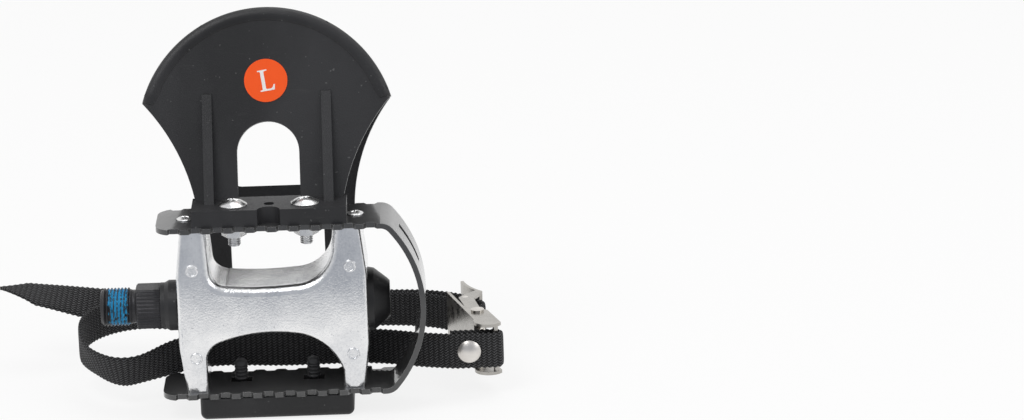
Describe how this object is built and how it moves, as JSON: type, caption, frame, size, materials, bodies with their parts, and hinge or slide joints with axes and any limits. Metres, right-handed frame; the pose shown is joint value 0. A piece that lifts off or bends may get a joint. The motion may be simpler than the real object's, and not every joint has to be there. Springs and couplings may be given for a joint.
{
  "type": "exercise bike pedal with straps",
  "caption": "Left-hand bike pedal: cast aluminium H body on a threaded spindle, bent toothed steel cage, plastic toe clip and a webbing strap with a sprung cam buckle.",
  "frame": {"origin": "on the spindle axis, at the inner end of the crank thread", "axes": "+X along the spindle away from the crank, +Z forward to the toe clip, +Y from the underside to the shoe side"},
  "size_m": [0.1929, 0.0856, 0.1468],
  "materials": {
    "black_steel": "black oxide",
    "bearing_steel": "ground",
    "cast_aluminium": "tumbled die casting",
    "black_paint": "gloss paint",
    "zinc_steel": "zinc plate",
    "black_plastic": "moulded, fine texture",
    "orange_film": "printed film",
    "webbing": "woven nylon",
    "nickel_steel": "nickel plate"
  },
  "bodies": {
    "spindle": {"spindle": "black_steel", "seal_sleeve": "black_plastic", "outer_cone": "bearing_steel", "lock_washer": "bearing_steel", "lock_nut": "bearing_steel"},
    "balls": {"inner_balls": "bearing_steel", "outer_balls": "bearing_steel"},
    "pedal": {"body": "cast_aluminium", "inner_cup": "bearing_steel", "outer_cup": "bearing_steel", "end_cap": "black_plastic", "cage": "black_paint", "cage_screws": "zinc_steel", "toe_clip": "black_plastic", "toe_clip_screws": "zinc_steel", "toe_clip_nuts": "zinc_steel", "side_sticker": "orange_film", "reflector": "black_plastic", "strap": "webbing", "strap_rivet": "nickel_steel", "buckle_frame": "nickel_steel", "lever_pivot": "nickel_steel", "lever_spring": "nickel_steel"},
    "lever": {"buckle_lever": "nickel_steel", "roller_pin": "nickel_steel", "lever_roller": "nickel_steel"}
  },
  "joints": [
    {"name": "pedal_spin", "type": "hinge", "parent": "spindle", "child": "pedal", "pos_m": [0.0526, 0, 0], "axis": [1, 0, 0], "continuous": true},
    {"name": "ball_orbit", "type": "hinge", "parent": "spindle", "child": "balls", "pos_m": [0.0526, 0, 0], "axis": [1, 0, 0], "continuous": true},
    {"name": "lever_open", "type": "hinge", "parent": "pedal", "child": "lever", "pos_m": [0.12802, 0.02201, -0.0236], "axis": [0, 0, -1], "range_deg": [0, 20], "deforming": ["strap", "lever_spring"]}
  ],
  "couplings": [
    {"joint": "ball_orbit", "follows": "pedal_spin", "ratio": 0.625}
  ]
}
